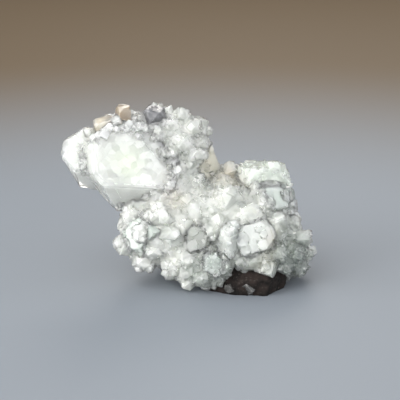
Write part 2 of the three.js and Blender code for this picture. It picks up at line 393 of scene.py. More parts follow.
# %% Fuse and cut
def join_or_cut(carrier, shapes, operation):
    """One boolean of a carrier with many closed shapes at once. shapes: (points in mm, faces) pairs."""
    pile = bpy.data.collections.new("pile")
    scene.collection.children.link(pile)
    temporary = []
    for points, faces in shapes:
        mesh = bpy.data.meshes.new("shape")
        mesh.from_pydata((points * MM).tolist(), [], faces)
        made = bpy.data.objects.new("shape", mesh)
        pile.objects.link(made)
        temporary.append((made, mesh))
    boolean = carrier.modifiers.new("boolean", "BOOLEAN")
    boolean.operation = operation
    boolean.solver = "MANIFOLD"
    boolean.operand_type = "COLLECTION"
    boolean.collection = pile
    settle(carrier)
    for made, mesh in temporary:
        bpy.data.objects.remove(made)
        bpy.data.meshes.remove(mesh)
    bpy.data.collections.remove(pile)
    print(carrier.name, operation.lower(), len(temporary), "shapes:", len(carrier.data.polygons), "faces")


def set_apart(batches):
    """Sorts batches of crystals into a few shapes in each of which no two crystals touch.

    Space is cut into cubes, each as wide as the batch's largest crystal is long. The crystals of one
    shape lie in cubes that are all even or all odd along each axis, and no cube holds two of them."""
    shapes = []
    for points, faces in batches:
        if not len(points):
            continue
        centres = points.mean(axis=1)
        cube = 2 * np.linalg.norm(points - centres[:, None], axis=2).max()
        cell = np.floor(centres / cube).astype(int)
        parity = (cell % 2) @ [1, 2, 4]
        key = cell @ [1, 1000, 1000000]
        order = np.argsort(key, kind="stable")
        first = np.r_[True, np.diff(key[order]) != 0]
        starts = np.maximum.accumulate(np.where(first, np.arange(len(key)), 0))
        rank = np.empty(len(key), int)
        rank[order] = np.arange(len(key)) - starts
        group = rank * 8 + parity
        for g in np.unique(group):
            chosen = points[group == g]
            shift = POINTS_EACH * np.arange(len(chosen))
            repeated = [tuple(v + s for v in face) for s in shift.tolist() for face in faces]
            shapes.append((chosen.reshape(-1, 3), repeated))
    return shapes


def swollen(name, by):
    """A CAD solid with its points moved out along their normals by a distance (mm), for cutting its bed."""
    points, triangles = merged_copy(name)
    a, b, c = (points[triangles[:, k]] for k in range(3))
    total = np.zeros_like(points)
    for k in range(3):
        np.add.at(total, triangles[:, k], np.cross(b - a, c - a))
    return points + unit(total) * by, triangles.tolist()


def surface_of(made):
    """A piece's own points (mm) and triangles, as arrays."""
    return points_of(made.data), triangles_of(made.data)


def shape_of(made):
    """A piece's own closed shape as (points in mm, faces), for cutting another piece."""
    points, triangles = surface_of(made)
    return points, triangles.tolist()


# %% An inner body
def inner_body(name, points, triangles, depth, voxel):
    """A closed surface at a given depth (mm) under a solid.

    The solid becomes a fog whose density rises evenly from 0 at its skin to 1 at a depth `band`; the
    surface is drawn where the density is depth / band."""
    band = depth + 2 * voxel
    skin_object = bpy.data.objects.new("skin", bpy.data.meshes.new("skin"))
    skin_object.data.from_pydata(points.tolist(), [], triangles.tolist())
    fog_object = bpy.data.objects.new("fog", bpy.data.volumes.new("fog"))
    body_object = bpy.data.objects.new(name, bpy.data.meshes.new(name))
    for made in (skin_object, fog_object, body_object):
        scene.collection.objects.link(made)
    fill = fog_object.modifiers.new("fill", "MESH_TO_VOLUME")
    fill.object = skin_object
    fill.resolution_mode = "VOXEL_SIZE"
    fill.voxel_size = voxel
    fill.interior_band_width = band
    fill.density = 1.0
    draw = body_object.modifiers.new("draw", "VOLUME_TO_MESH")
    draw.object = fog_object
    draw.threshold = depth / band
    draw.adaptivity = 0
    settle(body_object)
    body_object.data.transform(Matrix.Scale(MM, 4))
    bpy.data.objects.remove(fog_object)
    bpy.data.objects.remove(skin_object)
    body_object.data.shade_smooth()
    print(name, len(body_object.data.polygons), "faces")
    return body_object


# %% [markdown]
# ## Colour and unevenness by place
#
# Here and there the crystals are stained: tan where iron got in, peach where the large crystal meets
# the crust, grey-green where the clear ones let the rock show through. Some marks are painted shade
# as well: the grey-green and smoke over the right lobe and low at the front darken the parts that
# get less light, and the milk under the large crystal's big face is greyed where most light falls. A
# procedural texture could scatter such marks but not place them, so each piece carries its own colour
# attribute, worked out from the distance to named places in the frame. The milky bodies are also
# moved a little in and out by smooth noise, because real clouds don't follow the faces.


# %% Paint by place
def paint(made, base, stains=()):
    """Writes a piece's own colour attribute "tint".

    The base colour is drawn toward each mark's colour by strength * w * w * (3 - 2 w), where w falls
    from 1 at the mark's centre to 0 at its radius. Marks, which are stained patches and painted shade,
    are (centre mm, radius mm, colour, strength)."""
    points = points_of(made.data)
    colour = np.tile(np.asarray(base, float), (len(points), 1))
    for centre, radius, stain, strength in stains:
        near = np.clip(1 - np.linalg.norm(points - centre, axis=1) / radius, 0, 1)
        weight = strength * near * near * (3 - 2 * near)
        colour += (np.asarray(stain) - colour) * weight[:, None]
    tint = made.data.color_attributes.new("tint", "FLOAT_COLOR", "POINT")
    tint.data.foreach_set("color", np.hstack([colour, np.ones((len(points), 1))]).ravel())


WHITE = (1.0, 1.0, 1.0)
TAN = (0.62, 0.55, 0.43)
PEACH = (0.98, 0.88, 0.78)
GREY = (0.70, 0.71, 0.69)
GREY_GREEN = (0.38, 0.43, 0.40)
SMOKE = (0.32, 0.33, 0.33)
LEAF = (0.86, 0.94, 0.74)
STAINS_AND_SHADE = [
    (inside_box("crystal_crust", 0.68, 0.15, 0.15), 38.0, (0.80, 0.82, 0.79), 1.0),
    (inside_box("crystal_crust", 0.61, 0.53, 0.59), 8.0, TAN, 0.8),
    (inside_box("crystal_crust", 0.68, 0.48, 0.55), 5.0, TAN, 0.5),
    (inside_box("crystal_crust", 0.54, 0.55, 0.55), 6.0, GREY, 0.5),
    (inside_box("crystal_crust", 0.38, 0.25, 0.53), 6.0, PEACH, 0.6),
    (inside_box("crystal_crust", 0.43, 0.32, 0.61), 4.0, GREY, 0.4),
    (inside_box("crystal_crust", 0.81, 0.09, 0.34), 4.0, TAN, 0.9),
    (inside_box("crystal_crust", 0.77, 0.11, 0.19), 5.5, TAN, 0.8),
    # Painted shade as well as the lobe's own grey-green and smoke: these two darken the right lobe further,
    # the side turned from the light.
    (inside_box("crystal_crust", 0.92, 0.17, 0.16), 17.0, GREY_GREEN, 1.0),
    (inside_box("crystal_crust", 0.95, 0.12, 0.08), 9.0, SMOKE, 0.6),
    # Partly painted shade: this dark spot low at the front is the crust's own smoky grey, and it also darkens
    # the bottom, where less light falls.
    (inside_box("crystal_crust", 0.45, 0.07, 0.23), 3.0, SMOKE, 0.8),
    (inside_box("crystal_crust", 0.53, 0.09, 0.42), 2.6, SMOKE, 0.8),
    (inside_box("crystal_crust", 0.48, 0.09, 0.36), 6.5, GREY, 0.8),
    # Partly painted shade: these two grey-green patches low at the front are the rock seen through the
    # crystals, and they also darken the bottom, where less light falls.
    (inside_box("crystal_crust", 0.60, 0.07, 0.18), 6.0, GREY_GREEN, 0.8),
    (inside_box("crystal_crust", 0.46, 0.07, 0.14), 5.5, GREY_GREEN, 0.6),
    (inside_box("crystal_crust", 0.79, 0.07, 0.31), 4.5, TAN, 0.7),
    (inside_box("crystal_crust", 0.25, 0.20, 0.33), 8.0, GREY_GREEN, 0.35),
    (inside_box("crystal_crust", 0.52, 0.04, 0.03), 9.0, GREY_GREEN, 0.5),
    (inside_box("crystal_crust", 0.30, 0.90, 0.20), 9.0, GREY_GREEN, 0.5),
    (inside_box("crystal_crust", 0.75, 0.95, 0.40), 7.0, TAN, 0.5),
]
print(len(STAINS_AND_SHADE), "stains")


# %% Uneven surfaces
def cloud_values(points, size, seed, octaves=3):
    """Smooth random values from -1 to 1 over space, for many points (mm) at once.

    A lattice of random numbers, one every `size` mm, is blended across each cell by t * t * (3 - 2 t)
    on each axis; each octave halves the cell and the height, and they are added. A size may be one
    number or one for each axis."""
    table = np.random.default_rng(seed).uniform(-1, 1, (32, 32, 32))
    total = np.zeros(len(points))
    for octave in range(octaves):
        place = points / size * 2**octave + 7.3 * octave
        cell = np.floor(place).astype(int)
        t = place - cell
        t = t * t * (3 - 2 * t)
        for corner in np.ndindex(2, 2, 2):
            share = np.prod(np.where(corner, t, 1 - t), axis=1)
            i, j, k = ((cell + corner) % 32).T
            total += share * table[i, j, k] / 2**octave
    return total


def move_out(made, by):
    """Moves each of a piece's points along its normal by its own distance (mm)."""
    mesh = made.data
    normals = np.empty(len(mesh.vertices) * 3)
    mesh.vertex_normals.foreach_get("vector", normals)
    points = points_of(mesh) + normals.reshape(-1, 3) * by[:, None]
    mesh.vertices.foreach_set("co", (points * MM).ravel())
    mesh.update()


def ruffle(made, height, size, seed):
    """Moves a closed piece's points along their normals by cloud values times a height (mm)."""
    move_out(made, height * cloud_values(points_of(made.data), size, seed))


# %% [markdown]
# ## Facets, and crevices that have closed
#
# The milk in a crystal ends in flat, broken patches, so most inner bodies keep only a share of their
# triangles. The narrow crevices between crystals have mostly closed with later growth. That fill is
# found by swelling all the solids until the crevices close, and drawing the whole in again: what has
# closed stays closed.


# %% Facets and fills
def faceted(made, keep):
    """Keeps a share of a smooth body's triangles, which turns it into flat facets."""
    decimate = made.modifiers.new("decimate", "DECIMATE")
    decimate.ratio = keep
    settle(made)
    made.data.shade_flat()
    print(made.name, "kept", len(made.data.polygons), "faces")


def closing_body(name, solids, reach, sunk, voxel, keep):
    """A body that fills the crevices narrower than twice a reach (mm) between CAD solids.

    The solids are swollen by the reach, drawn again as one skin and drawn in again by reach + sunk, so
    that only what closed up stays filled, and then made into flat facets."""
    parts = [swollen(solid, reach) for solid in solids]
    counts = np.cumsum([0] + [len(points) for points, _ in parts]).tolist()
    numbered = zip([triangles for _, triangles in parts], counts)
    faces = [tuple(v + shift for v in face) for triangles, shift in numbered for face in triangles]
    fat = bpy.data.objects.new("fat", bpy.data.meshes.new("fat"))
    fat.data.from_pydata(np.vstack([points for points, _ in parts]).tolist(), [], faces)
    scene.collection.objects.link(fat)
    remesh = fat.modifiers.new("remesh", "REMESH")
    remesh.mode = "VOXEL"
    remesh.voxel_size = voxel
    settle(fat)
    body = inner_body(name, points_of(fat.data) * MM, triangles_of(fat.data), reach + sunk, voxel)
    bpy.data.objects.remove(fat)
    faceted(body, keep)
    return body


def body_under(name, glass, depth):
    """A copy of a skin with its points moved in along their normals by a depth (mm): it keeps the facets."""
    body = mesh_object(name, *shape_of(glass))
    move_out(body, np.full(len(body.data.vertices), -depth))
    return body


# %% [markdown]
# ## Clear crystal and milky body
#
# The skin lets most light through. Under a loupe its faces are mosaics of many flat patches, each
# leaning a hair another way, which is why they sparkle as the specimen turns. A bump from noise would
# only ripple; so the surface normal itself leans by a random amount in each cell of a Voronoi
# pattern, and stays flat inside the cell. The body under it scatters light all through, so it is a
# subsurface shader with a wide radius, which also keeps the crevices pale, as they are in real quartz,
# ice or apophyllite.


# %% Clear crystal and milky body materials
def vector_math(tree, operation, values):
    """One operation on vectors. Returns its result socket."""
    return node(tree, "ShaderNodeVectorMath", values, operation=operation).outputs[0]


def mosaic_normal(tree, place, per_mm, lean):
    """The surface normal leaning by a random vector of length up to lean in each cell of a mosaic."""
    cells = node(tree, "ShaderNodeTexVoronoi", {"Vector": place, "Scale": per_mm / MM}).outputs["Color"]
    centred = vector_math(tree, "SUBTRACT", {0: cells, 1: (0.5, 0.5, 0.5)})
    leaning = vector_math(tree, "SCALE", {0: centred, "Scale": 2 * lean})
    normal = node(tree, "ShaderNodeNewGeometry").outputs["Normal"]
    return vector_math(tree, "NORMALIZE", {0: vector_math(tree, "ADD", {0: normal, 1: leaning})})


def clear_material(name, colour, transmission, absorb, density, rough, mosaic, reach=1.2):
    """A glassy skin: its own tint in faint patches, finer and duller areas, a mosaic of flat patches.

    mosaic is how many patches lie along a millimetre and how far each leans; reach is how far (mm) the
    part of the light that isn't let through wanders."""
    material, tree, shader, output = new_material(name)
    place = object_place(tree)
    patches = noise(tree, place, 0.35, 4)
    tint = node(tree, "ShaderNodeVertexColor", layer_name="tint").outputs["Color"]
    pale = colour_mix(tree, spread(tree, patches, 0.35, 0.7), (*colour, 1), (1, 1, 1, 1))
    tree.links.new(colour_mix(tree, 1.0, pale, tint, "MULTIPLY"), shader.inputs["Base Color"])
    tree.links.new(spread(tree, noise(tree, place, 0.9, 5), 0.35, 0.75, *rough), shader.inputs["Roughness"])
    leaning = mosaic_normal(tree, place, *mosaic)
    waves = noise(tree, place, 1.6, 5)
    ripples = {"Strength": 0.12, "Distance": 0.05 * MM, "Height": waves, "Normal": leaning}
    tree.links.new(node(tree, "ShaderNodeBump", ripples).outputs["Normal"], shader.inputs["Normal"])
    shader.inputs["IOR"].default_value = 1.535
    shader.inputs["Transmission Weight"].default_value = transmission
    shader.inputs["Subsurface Weight"].default_value = 1.0
    shader.inputs["Subsurface Radius"].default_value = (1, 1, 1)
    shader.inputs["Subsurface Scale"].default_value = reach * MM
    volume = node(tree, "ShaderNodeVolumeAbsorption", {"Color": (*absorb, 1), "Density": density})
    tree.links.new(volume.outputs["Volume"], output.inputs["Volume"])
    return material


def milky_material(name, light, dark, per_mm, reach, streak=(1, 1, 1), turn=(0, 0, 0)):
    """A milky body: clouds of two whites over the piece's own tint, softened by light that wanders inside.

    reach is how far (mm) the light wanders. streak draws the clouds out along each axis, after the axes
    are turned by turn (degrees)."""
    material, tree, shader, output = new_material(name)
    place = object_place(tree)
    stretch = {"Vector": place, "Rotation": tuple(map(math.radians, turn)), "Scale": streak}
    drawn_out = node(tree, "ShaderNodeMapping", stretch, vector_type="TEXTURE").outputs["Vector"]
    clouds = noise(tree, drawn_out, per_mm, 6, 0.6, 0.4)
    tint = node(tree, "ShaderNodeVertexColor", layer_name="tint").outputs["Color"]
    white = colour_mix(tree, spread(tree, clouds, 0.38, 0.62), (*dark, 1), (*light, 1))
    tree.links.new(colour_mix(tree, 1.0, white, tint, "MULTIPLY"), shader.inputs["Base Color"])
    grain = node(tree, "ShaderNodeBump", {"Strength": 0.6, "Distance": 0.15 * MM, "Height": clouds})
    tree.links.new(grain.outputs["Normal"], shader.inputs["Normal"])
    shader.inputs["Roughness"].default_value = 0.55
    shader.inputs["Subsurface Weight"].default_value = 1.0
    shader.inputs["Subsurface Radius"].default_value = (1, 1, 1)
    shader.inputs["Subsurface Scale"].default_value = reach * MM
    return material


# Each mosaic: how many patches lie along a millimetre, and how far each leans.
FINE_MOSAIC = (0.9, 0.22)
HEAD_MOSAIC = (0.55, 0.14)
SPARKLING_MOSAIC = (0.5, 0.12)
BROAD_MOSAIC = (0.35, 0.06)
clear = clear_material(
    "clear_crystal",
    colour=(0.96, 0.985, 0.965),
    transmission=0.8,
    absorb=(0.84, 0.92, 0.85),
    density=12.0,
    rough=(0.05, 0.18),
    mosaic=BROAD_MOSAIC,
    reach=2.5,
)
sparkling = clear_material(
    "sparkling_crystal",
    colour=(0.94, 0.97, 0.95),
    transmission=0.82,
    absorb=(0.82, 0.9, 0.84),
    density=20.0,
    rough=(0.06, 0.2),
    mosaic=SPARKLING_MOSAIC,
    reach=2.0,
)
crust_clear = clear_material(
    "crust_crystal",
    colour=(0.965, 0.97, 0.935),
    transmission=0.82,
    absorb=(0.8, 0.86, 0.8),
    density=25.0,
    rough=(0.08, 0.25),
    mosaic=FINE_MOSAIC,
    reach=4.0,
)
smoky = clear_material(
    "smoky_crystal",
    colour=(0.55, 0.55, 0.57),
    transmission=0.8,
    absorb=(0.5, 0.5, 0.51),
    density=60.0,
    rough=(0.06, 0.2),
    mosaic=FINE_MOSAIC,
)
honey = clear_material(
    "honey_crystal",
    colour=(0.95, 0.89, 0.80),
    transmission=0.8,
    absorb=(0.9, 0.72, 0.52),
    density=40.0,
    rough=(0.08, 0.25),
    mosaic=BROAD_MOSAIC,
)
milky = milky_material(
    "milky_body", light=(0.90, 0.90, 0.87), dark=(0.78, 0.79, 0.76), per_mm=0.5, reach=2.6
)
crust_milky = milky_material(
    "crust_milky_body", light=(0.99, 0.985, 0.95), dark=(0.54, 0.565, 0.52), per_mm=0.28, reach=3.0
)
head_clear = clear_material(
    "head_crystal",
    colour=(0.97, 0.985, 0.965),
    transmission=0.85,
    absorb=(0.88, 0.93, 0.88),
    density=10.0,
    rough=(0.05, 0.18),
    mosaic=HEAD_MOSAIC,
    reach=2.5,
)
sugar = clear_material(
    "sugar_crystal",
    colour=(1.0, 1.0, 0.98),
    transmission=0.5,
    absorb=(0.9, 0.93, 0.89),
    density=5.0,
    rough=(0.1, 0.3),
    mosaic=FINE_MOSAIC,
    reach=3.0,
)
head_milky = milky_material(
    "head_milky_body",
    light=(0.97, 0.97, 0.93),
    dark=(0.78, 0.80, 0.76),
    per_mm=0.9,
    reach=4.5,
    streak=(5, 1.5, 1),
    turn=(0, -25, 17),
)
print("materials:", [m.name for m in bpy.data.materials])

# %% [markdown]
# ## Small crystals on a surface
#
# Small crystals take root anywhere on a larger one, but most of all in crevices and at its foot. Their
# places are drawn by area over the solid's triangles. Whether a place is a crevice is read from the
# solid itself: a point held above an open face is far from everything, but above a crevice it comes
# close to a wall.


# %% Spots and how sheltered they are
def spots_on(points, triangles, count, rng):
    """Random spots on a surface, evenly by area, with the outward normal at each.

    A spot is a + u (b - a) + v (c - a) in a triangle a, b, c, with u and v folded so that u + v <= 1."""
    a, b, c = (points[triangles[:, k]] for k in range(3))
    cross = np.cross(b - a, c - a)
    area = np.linalg.norm(cross, axis=1)
    chosen = rng.choice(len(area), count, p=area / area.sum())
    u, v = rng.random((2, count))
    flip = u + v > 1
    u, v = np.where(flip, 1 - u, u), np.where(flip, 1 - v, v)
    spots = a[chosen] + u[:, None] * (b - a)[chosen] + v[:, None] * (c - a)[chosen]
    return spots, cross[chosen] / area[chosen, None]


def nearest(tree, points):
    """Nearest places on a surface to many points, and how far they are (mm)."""
    found = [tree.find_nearest(point) for point in points.tolist()]
    return np.array([tuple(f[0]) for f in found]).reshape(-1, 3), np.array([f[3] for f in found])


def shelter(tree, spots, outward, reach):
    """0 where the surface is open and flat around a spot, near 1 in a crevice.

    It is 1 - d / reach, where d is the distance to the surface from a point `reach` above the spot."""
    return 1 - nearest(tree, spots + outward * reach)[1] / reach


def dust(rng, spots, outward, sizes, wander=0.3, sunk=0.55):
    """Small crystals standing on spots, most of them blocky and one in five pointed: two batches.

    Each is sunk into the surface by a share of its own half width."""
    width = rng.uniform(*sizes, len(spots))
    axis = unit(outward + rng.normal(0, wander, outward.shape))
    seat = spots - axis * (sunk * width)[:, None]
    sharp = rng.random(len(spots)) < 0.2
    return [
        crystals(rng, seat[sharp], axis[sharp], width[sharp], True, (-0.3, 0.3), (0.3, 0.7)),
        crystals(rng, seat[~sharp], axis[~sharp], width[~sharp], False, (0.2, 0.8), (0.2, 0.9)),
    ]


# %% [markdown]
# ## Single crystals
#
# A dozen crystals are large enough to be known one by one. Each begins as its CAD solid with slightly
# rounded edges. Apophyllite rarely grows as one clean block: it is a bundle of smaller crystals in the
# same stance, so such a bundle is fused to each one's flanks, and a dusting of small ones over that.


# %% Faces, stance and parallel growth
FLAT = 0.5  # mm2: smaller faces don't count as a crystal's own
LARGEST_BUNDLE = 4.0  # mm: a wider crystal's bundle is sized as if it were this wide


def flat_faces(points, triangles, smallest):
    """The flat faces of a solid as (normal, corner points in order), those above an area in mm2.

    Triangles with the same normal and distance are one face; its corners are put in order by their
    angle about its middle."""
    a, b, c = (points[triangles[:, k]] for k in range(3))
    cross = np.cross(b - a, c - a)
    area = np.linalg.norm(cross, axis=1) / 2
    normal = cross / (2 * area[:, None])
    plane = np.round(np.hstack([normal * 20, np.sum(normal * a, axis=1, keepdims=True) * 4])).astype(int)
    _, group = np.unique(plane, axis=0, return_inverse=True)
    group = group.reshape(-1)
    faces = []
    for g in range(group.max() + 1):
        mine = group == g
        if area[mine].sum() < smallest:
            continue
        n = unit(np.average(normal[mine], axis=0, weights=area[mine]))
        corners = points[np.unique(triangles[mine])]
        offset = corners - corners.mean(axis=0)
        across = unit(np.cross(n, offset[np.argmax(np.linalg.norm(offset, axis=1))]))
        angle = np.arctan2(offset @ across, offset @ np.cross(across, n))
        faces.append((n, corners[np.argsort(-angle)]))
    return faces


def crystal_object(name, source, rounding):
    """A merged copy of a CAD crystal with flat faces joined up and its edges rounded a little."""
    points, triangles = merged_copy(source)
    made = mesh_object(name, points, triangles.tolist())
    flat = bmesh.new()
    flat.from_mesh(made.data)
    bmesh.ops.dissolve_limit(flat, angle_limit=math.radians(2), verts=flat.verts, edges=flat.edges)
    flat.to_mesh(made.data)
    flat.free()
    bevel = made.modifiers.new("bevel", "BEVEL")
    bevel.width = rounding * MM
    bevel.segments = 2
    bevel.limit_method = "ANGLE"
    bevel.angle_limit = math.radians(15)
    settle(made)
    return made


def crystal_axes(points, triangles, axis):
    """A crystal's own x, y and z directions: z is the face most square to its axis, x its largest side."""
    faces = flat_faces(points, triangles, FLAT)
    normals = np.array([n for n, _ in faces])
    sizes = np.array([np.linalg.norm(c - c.mean(axis=0), axis=1).max() for _, c in faces])
    z = normals[np.argmax(normals @ unit(np.array(axis, float)))]
    sides = np.abs(normals @ z) < 0.1
    x = normals[sides][np.argmax(sizes[sides])] if sides.any() else np.cross(z, [0, 0, 1.0])
    x = unit(x - (x @ z) * z)
    return x, np.cross(z, x), z


def parallel_growth(rng, name, axis, count, sizes):
    """Smaller crystals in the same stance around a crystal's flanks: a batch.

    Each sits at a random angle on the rim of the crystal's own cross-section, part of the way up."""
    points, triangles = merged_copy(name)
    x, y, z = crystal_axes(points, triangles, axis)
    local = points @ np.array([x, y, z]).T
    low, high = local.min(axis=0), local.max(axis=0)
    half, centre = (high - low) / 2, (high + low) / 2
    angle = rng.uniform(0, 2 * math.pi, count)
    ring = np.stack([np.cos(angle), np.sin(angle)], axis=1)
    ring *= (rng.uniform(0.45, 0.88, count) / np.abs(ring).max(axis=1))[:, None]
    width = rng.uniform(*sizes, count) * min(half[0], half[1], LARGEST_BUNDLE)
    across = centre[:2] + ring * half[:2]
    reach = high[2] - rng.uniform(-0.12, 0.75, count) * half[2] - 0.9 * width
    at = np.column_stack([across, reach]) @ np.array([x, y, z])
    aside = np.array([0, 0, 1.0]) if abs(z[2]) < 0.9 else np.array([1.0, 0, 0])
    x0 = unit(np.cross(aside, z))
    rolls = math.atan2(x @ np.cross(z, x0), x @ x0) + rng.normal(0, 0.08, count)
    axes = np.tile(z, (count, 1)) + rng.normal(0, 0.08, (count, 3))
    return crystals(rng, at, axes, width, False, (0.3, 0.8), (0.2, 0.9), rolls)


# %% [markdown]
# The table below lists, for each crystal: the way its axis runs, its finish and material slot, the tint
# of its milky heart, how deep the heart lies (a deep one leaves the crystal clearer), how many
# parallel crystals it carries, how many spots for small ones are drawn on it, and how far its edges
# are rounded. Depths and roundings are in mm. The skin takes half of the heart's tint.

# %% Make the single crystals
GLASSY = "clear_crystal"  # the slot of all the colourless ones
SINGLES = {
    "rear_crystal": ((-0.37, 0.2, 0.9), clear, GLASSY, (0.78, 0.74, 0.62), 0.45, 5, 40, 0.25),
    "smoky_crystal": ((0.1, -0.2, 1), smoky, "smoky_crystal", (0.26, 0.26, 0.28), 0.7, 0, 12, 0.5),
    "honey_crystal_left": ((-0.3, -0.2, 1), honey, "honey_crystal", (0.97, 0.93, 0.85), 0.6, 4, 14, 1.1),
    "honey_crystal_top": ((0.05, 0, 1), honey, "honey_crystal", (0.60, 0.52, 0.42), 0.6, 0, 0, 1.1),
    "shoulder_crystal": ((-0.05, 0.05, 1), sparkling, GLASSY, (0.97, 1.0, 0.96), 0.4, 46, 420, 0.3),
    "glassy_crystal": ((0.35, -0.6, 0.7), sparkling, GLASSY, (0.90, 0.95, 0.92), 0.6, 10, 40, 0.25),
    "edge_crystal": ((0.9, -0.3, 0.25), sparkling, GLASSY, (0.78, 0.83, 0.80), 0.8, 8, 30, 0.25),
    "bright_crystal": ((0.1, -0.95, 0.25), sparkling, GLASSY, (0.93, 0.94, 0.93), 0.35, 30, 120, 0.3),
    "snow_crystal": ((-0.12, -0.35, 0.93), sparkling, GLASSY, (1.0, 1.0, 1.0), 0.35, 12, 60, 0.3),
    "pale_crystal": ((-0.2, -0.9, 0.3), clear, GLASSY, (0.44, 0.45, 0.41), 0.45, 16, 90, 0.3),
    "round_crystal": ((-0.15, -0.95, 0.2), sparkling, GLASSY, (0.58, 0.63, 0.61), 0.5, 12, 80, 0.3),
    "green_crystal": ((-0.45, -0.8, 0.25), sparkling, GLASSY, (0.90, 0.95, 0.91), 0.25, 26, 120, 0.3),
}
# The end faces of these are dusted with small crystals too.
SUGARED = ("shoulder_crystal", "snow_crystal", "pale_crystal", "round_crystal")
END_FACE = 0.75  # a face whose normal lies this close to the axis (cosine) is an end face
DUST_SIZES = (0.3, 0.75)  # mm, half widths
BUNDLE_SIZES = (0.22, 0.5)  # half widths, as shares of the carrier's own
LOWEST_SPOT = 1.2  # mm above the floor, below which no small crystal takes root
BED_ROOM = 0.1  # mm of room left around a neighbour's solid
FOG_DEPTH = 0.3  # mm: a heart that lies shallower than this keeps the skin's facets
growth = np.random.default_rng(23)
glasses = {}
for name, (axis, material, slot, tint, depth, flanks, dusting, rounding) in SINGLES.items():
    glass = crystal_object(name + "_glass", name, rounding)
    small_spots, small_out = spots_on(*merged_copy(name), dusting, growth)
    on_flank = (small_out @ unit(np.array(axis, float)) < END_FACE) | (name in SUGARED)
    batches = dust(growth, small_spots[on_flank], small_out[on_flank], DUST_SIZES)
    if flanks:
        batches.append(parallel_growth(growth, name, axis, flanks, BUNDLE_SIZES))
    if flanks or dusting:
        join_or_cut(glass, set_apart(batches), "UNION")
        others = [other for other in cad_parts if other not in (name, "crystal_crust")]
        join_or_cut(glass, [swollen(other, BED_ROOM) for other in others], "DIFFERENCE")
    glasses[name] = glass
    paint(glass, 0.5 + 0.5 * np.array(tint))  # half way from white to the heart's tint
    glass.data.materials.append(material)
    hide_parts(name)
    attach(glass, "root")
    if depth < FOG_DEPTH:
        heart = body_under(name + "_milky_body", glass, depth)
    else:
        heart = inner_body(name + "_milky_body", *surface_of(glass), depth, voxel=0.35)
        ruffle(heart, height=0.2, size=2.2, seed=6)
        faceted(heart, keep=0.25)
    paint(heart, tint, () if name.startswith("honey") else STAINS_AND_SHADE)
    heart.data.materials.append(milky)
    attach(heart, "root")

# %% [markdown]
# ## The large crystal
#
# Its faces look smooth but carry growth steps: low terraces with the face's own outline, left where a
# layer stopped spreading. Each terrace is the outline drawn toward a point inside it.


# %% Growth steps and the large crystal's skin
def growth_step(rng, normal, corners, size, height):
    """A low terrace on a face: the face's outline drawn toward a point inside it, raised by a height.

    Its foot ring is sunk 0.3 mm into the face, and its top ring is 4 percent smaller."""
    weight = rng.dirichlet(np.ones(len(corners)))
    centre = weight @ corners
    foot = centre + (corners - centre) * size
    low = foot - normal * 0.3
    high = centre + (foot - centre) * 0.96 + normal * height
    i = np.arange(len(corners))
    j = (i + 1) % len(corners)
    sides = np.stack([i, j, j + len(corners), i + len(corners)], axis=1)
    return np.vstack([low, high]), [tuple(i[::-1]), tuple(i + len(corners)), *map(tuple, sides.tolist())]


def turned_outward(points, faces):
    """The same closed convex shape with its faces turned outward, whichever way its outline ran."""
    first = points[list(faces[1])[:3]]
    normal = np.cross(first[1] - first[0], first[2] - first[0])
    if np.dot(normal, first[0] - points.mean(axis=0)) > 0:
        return points, faces
    return points, [tuple(face[::-1]) for face in faces]


FACE_OUT = unit(np.array([0.28, -0.93, 0.24]))  # the way the big face looks
FACE_RIGHT = unit(np.cross([0, 0, 1.0], FACE_OUT))
FACE_UP = np.cross(FACE_OUT, FACE_RIGHT)
BIG_FACE = 12  # mm2: the faces above this size carry growth steps
STEP_SIZES = (0.93, 0.8, 0.55)  # each step's outline, as a share of the face's
STEP_HEIGHTS = (0.12, 0.3)  # mm

layers = np.random.default_rng(31)
points, triangles = merged_copy("main_crystal")
main = crystal_object("main_crystal_glass", "main_crystal", rounding=0.3)
steps = []
for normal, corners in flat_faces(points, triangles, BIG_FACE):
    for size in STEP_SIZES:
        step = growth_step(layers, normal, corners, size, layers.uniform(*STEP_HEIGHTS))
        steps.append(turned_outward(*step))
join_or_cut(main, steps, "UNION")

join_or_cut(main, [swollen(other, BED_ROOM) for other in SINGLES], "DIFFERENCE")
paint(main, WHITE)
main.data.materials.append(head_clear)
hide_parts("main_crystal")
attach(main, "root")

# %% [markdown]
# ## The crust
#
# The crust carries the large crystals of the CAD solid, some middling ones on their faces, and some
# thousands of small ones. The small ones gather in the crevices and on the sugary patches, and thin
# out on the large faces, so that some flat glass still shows between them. Before they grow, the
# narrow crevices between the CAD solids are filled. The small ones lean away from the crust's deep
# inside, so that they fan out over each lump.

# %% Grow the small crystals
# Each sugary patch: its middle, and how far it reaches (mm).
SUGAR = [
    (inside_box("crystal_crust", 0.48, 0.32, 0.60), 9),
    (inside_box("crystal_crust", 0.39, 0.50, 0.91), 12),
    (inside_box("crystal_crust", 0.63, 0.50, 0.59), 10),
    (inside_box("crystal_crust", 0.89, 0.30, 0.25), 15),
    (inside_box("crystal_crust", 0.44, 0.07, 0.19), 8),
    (inside_box("crystal_crust", 0.77, 0.08, 0.20), 7),
]
# Half widths of the small crystals, mm: on the sugary patches, elsewhere, and the middling ones.
SUGAR_SIZES = (0.28, 0.75)
COMMON_SIZES = (0.4, 1.15)
MIDDLING_SIZES = (0.9, 2.1)
SMALL_SPOTS = 11000
MIDDLING_SPOTS = 330
MIDDLING_LOWEST = 3  # mm above the floor
